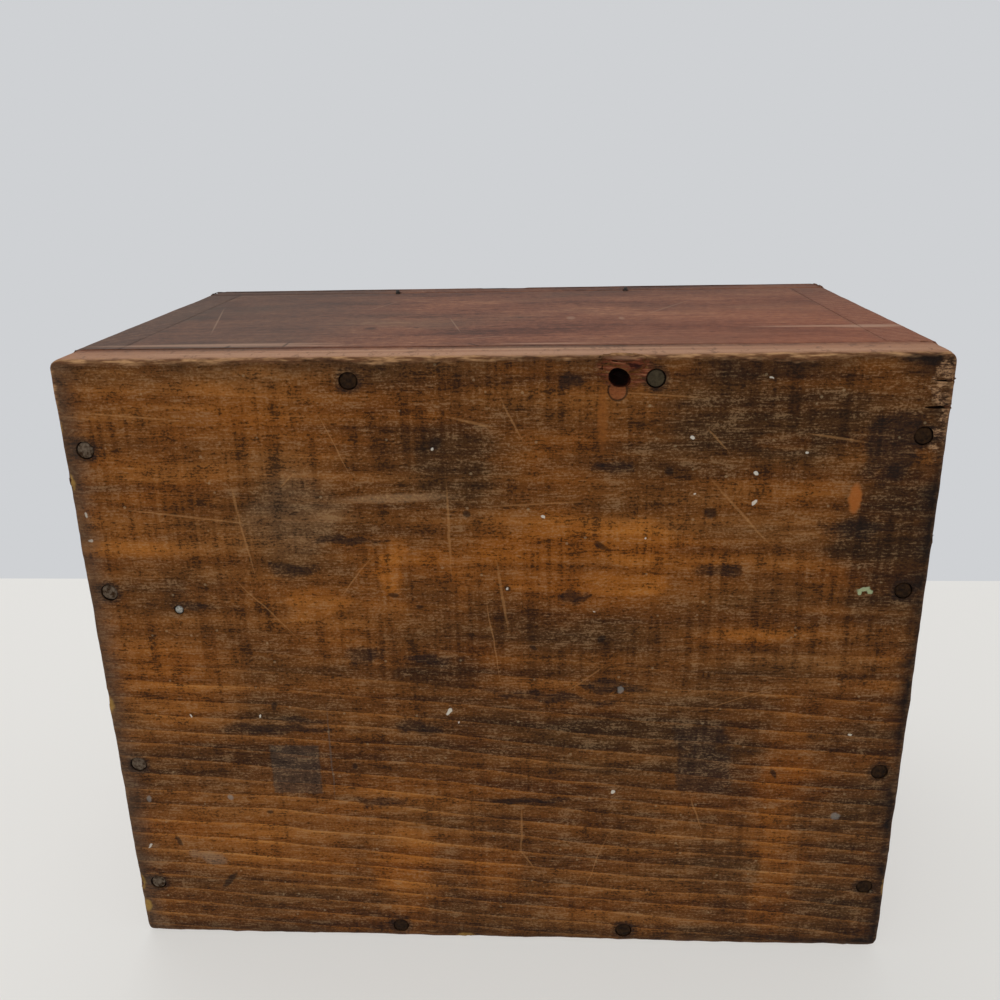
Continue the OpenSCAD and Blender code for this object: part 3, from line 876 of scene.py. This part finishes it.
    # Stains, broken up by the grain, and grime round the nails where iron has marked the wood
    stains = strongest(tree, (spot(tree, *ragged, at, size, turn, 0.6) for at, size, turn in STAINS))
    stains = strongest(tree, (stains, strongest(tree, (spot(tree, *bitten, at, (11, 10.5), 0, 0.45)
                                                       for row in bottom_rows.values() for at in row))))
    stains = add(tree, "MapRange", {0: lay(tree, 0.83, (stains, 0.85), (fine, -1.25)), 1: 0.30, 2: 0.95},
                 **SOFT)
    colour = add(tree, "Mix", {0: overlap(tree, stains, 0.72), 6: colour, 7: "#18120f"}, **TINT)

    # Nicks, scratches, drops and burns
    crumbs = add(tree, "TexVoronoi", {"Vector": place, "Scale": 1 / (8 * MM), "Randomness": 1.0})
    for mask, tint, strength in (
            (strongest(tree, (spot(tree, *bitten, at, size, turn, 0.35) for at, size, turn in NICKS)),
             "#120c08", 0.72),
            (spot(tree, *bitten, (-134, 78), (4.4, 11), 0, 0.3), "#a65f26", 0.75),
            (spot(tree, *bitten, (-40, 110), (3.2, 21), 0, 0.5), "#8f5420", 0.55),
            (overlap(tree, spot(tree, *bitten, (38, 78.5), (32, 2.8), -2, 0.7), pepper), "#b08a62", 0.75),
            (spot(tree, *bent, (72.2, -36), (0.7, 38), 0, 0.4), "#5c5348", 0.45),
            (strongest(tree, (spot(tree, *bent, at, size, turn, 0.55) for at, size, turn in SCRATCHES)),
             "#b07f4c", 0.34),
            (add(tree, "MapRange", {0: crumbs, 1: 0.085, 2: 0.05}, **SOFT), "#a8926f", 0.35),
            (strongest(tree, (spot(tree, *bitten, at, size, turn, 0.25) for at, size, turn in DROPS)),
             "#d3cab9", 0.85),
            (strongest(tree, (spot(tree, *bitten, at, size, 0, 0.35) for at, size in
                              (((-140, -63.7), (3.4, 3.2)), ((-49, -4), (2.2, 3.0)),
                               ((117.7, -58.6), (2.4, 2.4)),
                               ((154, -60), (2, 3))))), "#8e8a82", 0.5),
            (strongest(tree, (spot(tree, *bitten, at, size, turn, 0.25) for at, size, turn in
                              (((-141, 41), (4.6, 1.8), -14), ((-143.4, 40), (2.6, 2.0), 30),
                               ((-139.6, 39.6), (1.6, 1.6), 0)))),
             "#a3ad84", 0.85)):
        colour = add(tree, "Mix", {0: overlap(tree, mask, strength), 6: colour, 7: tint}, **TINT)

    # Grime and grey along the edges, and pale worn wood at one corner
    to_edge = add(tree, "Math", {0: inside(tree, x, 0, HALF_W), 1: inside(tree, y, 0, HALF_D)},
                  operation="MINIMUM")
    uneven = lay(tree, -0.009, (streaks(tree, grain, (16, 7, 9), 3.0, 12.5), 0.014), (to_edge, 1.0),
                 (fine, 0.004))
    grime = add(tree, "MapRange", {0: uneven, 1: 0.012, 2: -0.002}, **SOFT)
    right = add(tree, "MapRange", {0: x, 1: -0.118, 2: -0.160}, **SOFT)
    grime = lay(tree, 0.0, (grime, 0.74), (overlap(tree, grime, right), 0.50))
    colour = add(tree, "Mix", {0: grime, 6: colour, 7: "#1c110a"}, **TINT)
    left = add(tree, "MapRange", {0: lay(tree, -0.008, (x, 1.0), (mottle, 0.016)), 1: 0.152, 2: 0.163},
               **SOFT)
    colour = add(tree, "Mix", {0: overlap(tree, left, 0.36, fine), 6: colour, 7: "#6f5c4b"}, **TINT)
    corner = spot(tree, *ragged, (-164, 112), (15, 46), 0, 0.4)
    splinters = add(tree, "MapRange", {0: lay(tree, -0.45, (streaks(tree, grain, (5.5, 2.6, 2.6), 4.0, 3.3,
                                                                    0.7), 1.0), (corner, 0.45)),
                                       1: 0.43, 2: 0.56}, **SOFT)
    worn = add(tree, "Mix", {0: add(tree, "MapRange", {0: fine, 1: 0.58, 2: 0.80}, **SOFT), 6: "#42291a",
                             7: "#b08862"}, **TINT)
    colour = add(tree, "Mix", {0: overlap(tree, corner, splinters, 0.82), 6: colour, 7: worn}, **TINT)
    chips = strongest(tree, (spot(tree, *bitten, at, size, 0, 0.35)
                             for at, size in (((165, 85), (5, 7)), ((165, -105), (5, 8)),
                                              ((18, -133), (9, 5)), ((165, 107), (3, 5)),
                                              ((163, -118), (4, 6)), ((165, -13), (5, 8)),
                                              ((-165, -100), (3, 9)))))
    colour = add(tree, "Mix", {0: overlap(tree, chips, 0.75), 6: colour, 7: "#a5803f"}, **TINT)

    # Broken reddish wood in the torn nail hole, darkened towards the bottom of the hole as painted shade, the
    # old head's print beside it, and painted shade, near black, on the walls of the recesses
    crater = spot(tree, *bitten, (-47.5, 127.6), (20, 13.5), 0, 0.2)
    splintered = streaks(tree, grain, (7, 1.1, 1.1), 3.0, 17.2, 0.65)
    # Painted shade: the torn wood turns darker the deeper it lies in the hole
    torn_wood_and_depth_shade = add(tree, "ValToRGB", {0: lay(tree, 0.0, (splintered, 1.0),
                                        (add(tree, "MapRange", {0: z, 1: 0.0012, 2: 0.0050}, **SOFT),
                                         -0.32))},
              colours=((0.24, "#120503"), (0.42, "#33130a"), (0.58, "#6a341e"), (0.80, "#b08058")))
    # Painted shade: the walls of the recesses, from about 1 mm in, turn near black
    deep = add(tree, "MapRange", {0: z, 1: 0.0006, 2: 0.0012}, **SOFT)
    lip = overlap(tree, crater, add(tree, "MapRange", {0: splintered, 1: 0.42, 2: 0.56}, **SOFT))
    recess_shade_and_torn_lip = strongest(tree, (overlap(tree, deep, add(tree, "MapRange", {0: z, 1: 0.015, 2: 0.012}, **SOFT)),
                             lip))
    print_fill = spot(tree, *bent, (-45.6, 119.4), (6.4, 6.2), 0, 0.10)
    print_rim = overlap(tree, spot(tree, *bent, (-45.6, 119.4), (7.6, 7.4), 0, 0.10),
                        lay(tree, 1.0, (print_fill, -1.0)))
    colour = add(tree, "Mix", {0: overlap(tree, print_fill, fine, 0.9), 6: colour, 7: "#84482a"}, **TINT)
    colour = add(tree, "Mix", {0: overlap(tree, print_rim, 0.85), 6: colour, 7: "#1a0c06"}, **TINT)
    colour = add(tree, "Mix", {0: recess_shade_and_torn_lip, 6: colour, 7: add(tree, "Mix", {0: crater, 6: "#140a06", 7: torn_wood_and_depth_shade},
                                                           **TINT)}, **TINT)

    # The board's sides carry the walls' stain, and its upper face is bare inside the box
    stained = stained_wood(tree, place, grain, phase, fibres, inside(tree, x, 0, HALF_W))
    rubbed = strongest(tree, (spot(tree, x, z, at, size, 0, 0.6) for at, size in
                              (((-15, 12.5), (126, 2.6)), ((58, 11.5), (56, 2.0)), ((-10, 5), (250, 5)),
                               ((100, 8), (60, 3)))))
    at_back = add(tree, "MapRange", {0: y, 1: 0.124, 2: 0.131}, **SOFT)
    stained = add(tree, "Mix", {0: overlap(tree, at_back, rubbed, 0.6), 6: stained, 7: "#b58d70"}, **TINT)
    faded = add(tree, "MapRange", {0: z, 1: 0.0190, 2: 0.0110}, **SOFT)
    stained = add(tree, "Mix", {0: overlap(tree, at_back, faded, 0.58), 6: stained, 7: "#b18567"}, **TINT)
    nicked = add(tree, "MapRange", {0: streaks(tree, place, (3.2, 2, 5), 3.0, 27.1, 0.7), 1: 0.55, 2: 0.65},
                 **SOFT)
    stained = add(tree, "Mix", {0: overlap(tree, at_back, nicked, 0.38), 6: stained, 7: "#3f281b"}, **TINT)
    side = overlap(tree, add(tree, "MapRange", {0: z, 1: 0.0007, 2: 0.0016}, **SOFT),
                   add(tree, "MapRange", {0: to_edge, 1: 0.0030, 2: 0.0016}, **SOFT))
    colour = add(tree, "Mix", {0: side, 6: colour, 7: stained}, **TINT)
    handled = add(tree, "MapRange", {0: y, 1: 0.100, 2: 0.129, 3: 0.22, 4: 0.95}, **SOFT)
    colour = worn_arris(tree, colour, to_arris(tree, parts, BOX), grain, handled, "#b98d62")
    bare = overlap(tree, inside_box(tree, parts), add(tree, "MapRange", {0: z, 1: 0.015, 2: 0.018}, **SOFT))
    colour = add(tree, "Mix", {0: bare, 6: colour, 7: bare_wood(tree, grain, phase, fibres)}, **TINT)

    height = lay(tree, 0.0, (fine, 0.60), (saw_marks, -0.12), (early, 0.05))
    wood_surface(tree, colour, height, 0.68)
    return material


def stained_pine(name, order, pith, corners):
    """Hand-planed pine: a dull red-brown stain outside, bare brown wood inside, paler along worn arrises."""
    material, tree = new_material(name)
    place, parts, grain = wood_place(tree, order)
    phase = year_rings(tree, grain, pith, 6.0, 0.02)
    fibres = streaks(tree, grain, (12, 0.7, 0.7), 3.0, 2.4, 0.65)
    axis = "XYZ".index(order[0])
    ends = inside(tree, parts[axis], 0, corners[1][axis])
    colour = stained_wood(tree, place, grain, phase, fibres, ends)
    colour = back_marks(tree, place, parts, colour)
    seam = to_arris(tree, parts, corners)
    grime = add(tree, "MapRange", {0: lay(tree, 0.0, (seam, 1.0),
                                          (streaks(tree, place, (12, 12, 12), 2.0, 2.2), -0.006)),
                                   1: 0.0, 2: -0.004}, **SOFT)
    colour = add(tree, "Mix", {0: overlap(tree, grime, 0.16), 6: colour, 7: "#2c1c13"}, **TINT)
    colour = worn_arris(tree, colour, to_arris(tree, parts, BOX), grain, 0.75)
    colour = add(tree, "Mix", {0: inside_box(tree, parts), 6: colour,
                               7: bare_wood(tree, grain, phase, fibres)}, **TINT)
    height = lay(tree, 0.0, (fibres, 0.22), (phase, 0.03), (streaks(tree, place, (3, 3, 3), 3.0, 4.4), 0.15))
    wood_surface(tree, colour, height, 0.62)
    return material


def back_marks(tree, place, parts, colour):
    """Rubbed streaks by the bottom edge of the back, fine scratches, its greyer, oilier left part, and
    painted shade towards the lid.
    """
    x, y, z = parts
    at_back = add(tree, "MapRange", {0: y, 1: 0.124, 2: 0.131}, **SOFT)
    grey = add(tree, "MapRange", {0: lay(tree, -0.03, (x, 1.0),
                                         (streaks(tree, place, (50, 50, 50), 3.0, 9.9), 0.06)),
                                  1: 0.03, 2: 0.10}, **SOFT)
    colour = add(tree, "Mix", {0: overlap(tree, at_back, grey, 0.52), 6: colour, 7: "#463d34"}, **TINT)
    ruddy = add(tree, "MapRange", {0: lay(tree, 0.0, (x, 0.6), (z, 0.5)), 1: 0.050, 2: -0.070}, **SOFT)
    colour = add(tree, "Mix", {0: overlap(tree, at_back, ruddy, 0.34), 6: colour, 7: "#9a5433"}, **TINT)
    # Painted shade: the back faces darken towards their top, by the lid
    painted_shade_by_lid = add(tree, "MapRange", {0: z, 1: 0.110, 2: 0.185}, **SOFT)
    colour = add(tree, "Mix", {0: overlap(tree, at_back, painted_shade_by_lid, 0.30), 6: colour, 7: "#33241c"}, **TINT)
    for marks, tint, strength in (
            ((((112, 27), (74, 4), -1), ((-138, 56), (54, 3), 1), ((90, 24), (60, 1.6), 0),
              ((-20, 23), (30, 1.6), 0),
              ((-150, 55), (26, 6), 0)), "#b08d74", 0.55),
            ((((-75, 112), (0.7, 40), 30), ((20, 70), (0.5, 30), -12), ((130, 90), (0.6, 60), -14),
              ((-30, 84), (3, 7), 0),
              ((60, 130), (0.5, 30), 20), ((-52, 82), (2.0, 6), 0), ((5, 38), (14, 0.8), -20)), "#a4866f",
              0.35),
            ((((55, 62), (4, 5), 0), ((8, 22), (1.2, 9), -40), ((104, 22), (1.4, 6), 0),
              ((82, 26), (1.0, 9), 0)), "#20130d", 0.6)):
        found = strongest(tree, (spot(tree, x, z, at, size, turn, 0.6) for at, size, turn in marks))
        colour = add(tree, "Mix", {0: overlap(tree, at_back, found, strength), 6: colour, 7: tint}, **TINT)
    return colour


def old_iron(name, dark, light, rough, grit, rubbed=None):
    """Iron gone brown-black with rust and grease. With a rubbed colour, it gets greyer towards +X."""
    material, tree = new_material(name)
    place = add(tree, "TexCoord", {}, "Object")
    scale = streaks(tree, place, (grit, grit, grit), 4.0, 0.0, 0.65)
    colour = add(tree, "ValToRGB", {0: scale}, colours=((0.35, dark), (0.65, light)))
    if rubbed:
        x = add(tree, "SeparateXYZ", {0: place})
        bright = add(tree, "ValToRGB", {0: scale}, colours=((0.38, light), (0.62, rubbed)))
        colour = add(tree, "Mix", {0: add(tree, "MapRange", {0: x, 1: 0.06, 2: 0.15, 4: 0.85}, **SOFT),
                                   6: colour, 7: bright}, **TINT)
        on_top = spot(tree, x, add(tree, "SeparateXYZ", {0: place}, 1), (-59, 124), (12, 12))
        colour = add(tree, "Mix", {0: overlap(tree, on_top, scale, 1.2), 6: colour, 7: "#48402f"}, **TINT)
    bump = add(tree, "Bump", {"Height": scale, "Distance": 0.3 * MM})
    add(tree, "OutputMaterial", {0: add(tree, "BsdfPrincipled",
                                        {"Base Color": colour, "Metallic": 0.1, "Roughness": rough,
                                                                 "Normal": bump, "Specular IOR Level": 0.1})})
    return material


bottom_pine = rough_pine()
front_pine = stained_pine("red_stained_front", "XZY", (-40, 60), FRONT)
back_pine = stained_pine("red_stained_back", "XZY", (-40, 60), BACK)
left_pine = stained_pine("red_stained_left_end", "YZX", (-70, -0.12), LEFT)
right_pine = stained_pine("red_stained_right_end", "YZX", (-70, 0.12), RIGHT)
lid_pine = stained_pine("red_stained_lid", "XYZ", (10, 120), LID)
nail_iron = old_iron("rusted_nail_iron", "#150b05", "#34210f", 0.8, 1.6, "#6f6050")
wire_iron = old_iron("black_iron_wire", "#1c1714", "#3d332d", 0.5, 1.2)
brad_steel = old_iron("dull_brad_steel", "#6d6a63", "#aaa69c", 0.45, 0.8)


# ---------- finish ----------

def hand_over(piece, node, body, material):
    """The piece stands for a CAD node, rides on its body and wears its finish."""
    smooth(piece)
    piece.data.materials.clear()
    piece.data.materials.append(material)
    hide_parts(node)
    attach(piece, body)


hand_over(bottom_board, "bottom_board", "box", bottom_pine)
hand_over(front_wall, "front_wall", "box", front_pine)
hand_over(back_wall, "back_wall", "box", back_pine)
hand_over(left_end, "left_end", "box", left_pine)
hand_over(right_end, "right_end", "box", right_pine)
hand_over(lid, "lid", "lid", lid_pine)
for node, piece in nails.items():
    hand_over(piece, node, "box", nail_iron)
hand_over(brad, "stray_brad", "box", brad_steel)
for node, piece in pins.items():
    hand_over(piece, node, "lid" if "lid" in node else "box", wire_iron)
